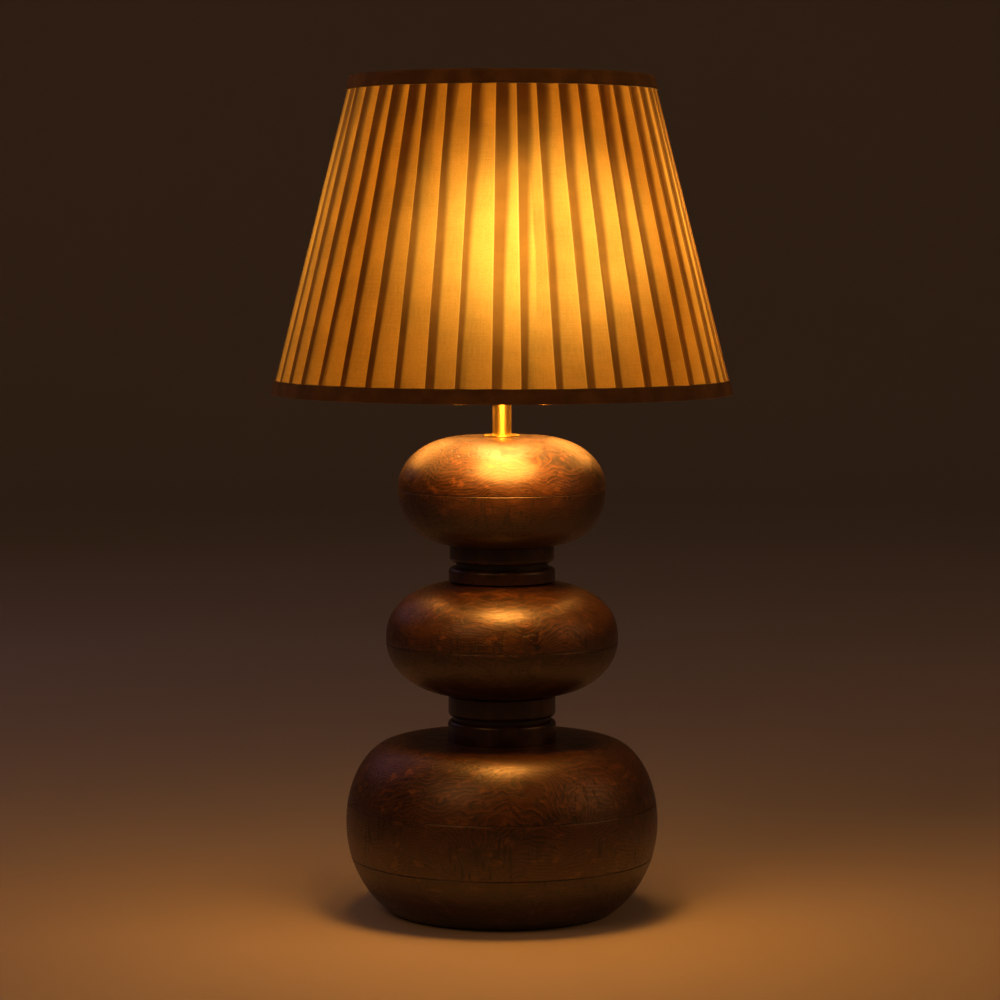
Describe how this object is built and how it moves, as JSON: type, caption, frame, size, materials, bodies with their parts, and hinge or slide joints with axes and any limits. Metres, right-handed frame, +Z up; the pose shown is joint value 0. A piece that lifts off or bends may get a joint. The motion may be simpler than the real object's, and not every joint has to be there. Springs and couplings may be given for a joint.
{
  "type": "table lamp with shade",
  "caption": "Table lamp with a body of stacked turned wooden beads between dark collars, a brass tube, and a knife-pleated empire shade held on a harp over a bulb.",
  "frame": {"origin": "centre of the felt foot, on the surface that the lamp stands on", "axes": "+Z up the rod's axis, +Y towards the cord hole at the back, X along the harp"},
  "size_m": [0.355, 0.355, 0.6408],
  "materials": {
    "bead_wood": "figured walnut, oiled and waxed to a soft sheen",
    "collar_wood": "dark stained, satin",
    "spacer_wood": "ebonised, matt",
    "brass": "satin, lacquered",
    "zinc": "zinc plated",
    "felt": "matt felt",
    "grommet_rubber": "matt",
    "phenolic": "moulded, matt",
    "knob": "moulded, glossy",
    "card": "fibre card",
    "thread_metal": "bright rolled sheet",
    "contact": "phosphor bronze, bare",
    "bulb_white": "frosted white inside, lit",
    "bulb_clear": "clear",
    "vitrite": "black glass, glossy",
    "tungsten": "glowing wire",
    "pleats": "gold silk-like cloth, lit from inside",
    "trim": "dark brown ribbed tape",
    "liner": "translucent, satin"
  },
  "bodies": {
    "stand": {"felt_pad": "felt", "base_bead": "bead_wood", "base_collar": "collar_wood", "lower_neck_spacer": "spacer_wood", "middle_lower_collar": "collar_wood", "middle_bead": "bead_wood", "middle_upper_collar": "collar_wood", "upper_neck_spacer": "spacer_wood", "top_lower_collar": "collar_wood", "top_bead": "bead_wood", "tube_flange": "brass", "brass_tube": "brass", "threaded_rod": "zinc", "flat_washer": "zinc", "lock_washer": "zinc", "hex_nut": "zinc", "cord_grommet": "grommet_rubber", "harp_saddle": "brass", "socket_cap": "brass", "cap_set_screw": "zinc", "socket_shell": "brass", "socket_sleeve": "card", "socket_interior": "phenolic", "screw_shell": "thread_metal", "centre_contact": "contact", "terminal_screws": "brass"},
    "switch": {"switch_spindle": "brass", "switch_knob": "knob"},
    "bulb": {"bulb_glass": "bulb_white", "bulb_cap": "thread_metal", "bulb_insulator": "vitrite", "bulb_tip": "thread_metal", "bulb_stem": "bulb_clear", "lead_wires": "zinc", "filament": "tungsten"},
    "harp": {"harp": "brass", "harp_stud": "brass"},
    "sleeve_left": {"harp_sleeve_left": "brass"},
    "sleeve_right": {"harp_sleeve_right": "brass"},
    "shade": {"spider_hub": "brass", "spider_arms": "brass", "shade_top_ring": "brass", "shade_bottom_ring": "brass", "shade_liner": "liner", "pleated_fabric": "pleats", "top_trim": "trim", "bottom_trim": "trim"},
    "finial": {"finial": "brass"}
  },
  "joints": [
    {"name": "switch_turn", "type": "hinge", "parent": "stand", "child": "switch", "pos_m": [0, -0.025, 0.4141], "axis": [0, -1, 0], "continuous": true},
    {"name": "bulb_lift", "type": "slide", "parent": "stand", "child": "bulb", "axis": [0, 0, 1], "range_m": [0, 0.03]},
    {"name": "harp_lift", "type": "slide", "parent": "stand", "child": "harp", "axis": [0, 0, 1], "range_m": [0, 0.16]},
    {"name": "sleeve_left_lift", "type": "slide", "parent": "harp", "child": "sleeve_left", "axis": [0, 0, 1], "range_m": [0, 0.012]},
    {"name": "sleeve_right_lift", "type": "slide", "parent": "harp", "child": "sleeve_right", "axis": [0, 0, 1], "range_m": [0, 0.012]},
    {"name": "shade_swivel", "type": "hinge", "parent": "harp", "child": "shade", "pos_m": [0, 0, 0.6153], "axis": [0, 0, 1], "continuous": true},
    {"name": "finial_turn", "type": "hinge", "parent": "harp", "child": "finial", "pos_m": [0, 0, 0.625], "axis": [0, 0, 1], "continuous": true}
  ]
}
